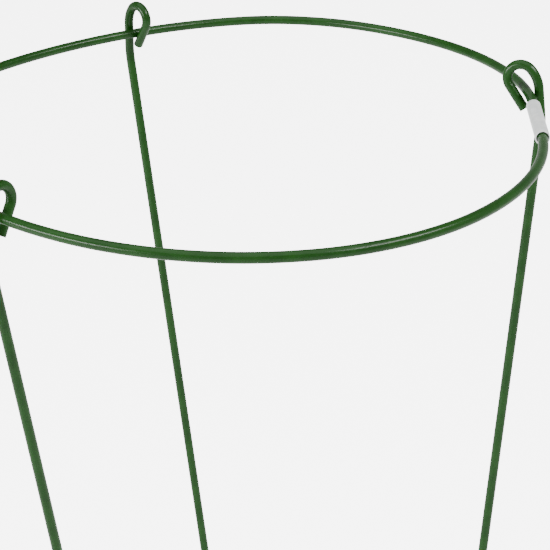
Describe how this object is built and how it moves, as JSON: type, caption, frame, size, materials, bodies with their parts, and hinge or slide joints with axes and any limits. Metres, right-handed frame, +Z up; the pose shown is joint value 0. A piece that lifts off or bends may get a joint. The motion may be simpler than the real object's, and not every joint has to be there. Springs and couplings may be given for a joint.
{
  "type": "wire ring stand",
  "caption": "Horizontal ring of plastic-coated wire, closed by a metal sleeve and held up by wire legs that hook over it and swing; holds a wreath or plant stems.",
  "frame": {"origin": "on the ground under the middle of the hoop, at the height of the leg ends", "axes": "+Z up through the hoop; +X towards the joining sleeve; the ring lies in a level plane"},
  "size_m": [0.2574, 0.2701, 0.4654],
  "materials": {
    "green_coating": "dark green soft plastic jacket, satin, smooth with faint draw lines along the wire",
    "steel_core": "bare mild steel wire, seen only at the cut ends",
    "sleeve_metal": "plain pale matt metal tube"
  },
  "bodies": {
    "hoop": {"hoop_core": "steel_core", "hoop_coating": "green_coating", "joint_sleeve": "sleeve_metal"},
    "leg_1": {"leg_1_core": "steel_core", "leg_1_coating": "green_coating"},
    "leg_2": {"leg_2_core": "steel_core", "leg_2_coating": "green_coating"},
    "leg_3": {"leg_3_core": "steel_core", "leg_3_coating": "green_coating"}
  },
  "joints": [
    {"name": "leg_1_swing", "type": "hinge", "parent": "hoop", "child": "leg_1", "pos_m": [-0.04122, 0.11722, 0.45], "axis": [0.8838, 0.4679, 0], "range_deg": [-8.5, 97]},
    {"name": "leg_2_swing", "type": "hinge", "parent": "hoop", "child": "leg_2", "pos_m": [0.12381, 0.02409, 0.45], "axis": [0.0819, -0.9966, 0], "range_deg": [-10, 95.7]},
    {"name": "leg_3_swing", "type": "hinge", "parent": "hoop", "child": "leg_3", "pos_m": [-0.07644, -0.09269, 0.45], "axis": [-0.7206, 0.6934, 0], "range_deg": [-6.5, 98.6]}
  ]
}
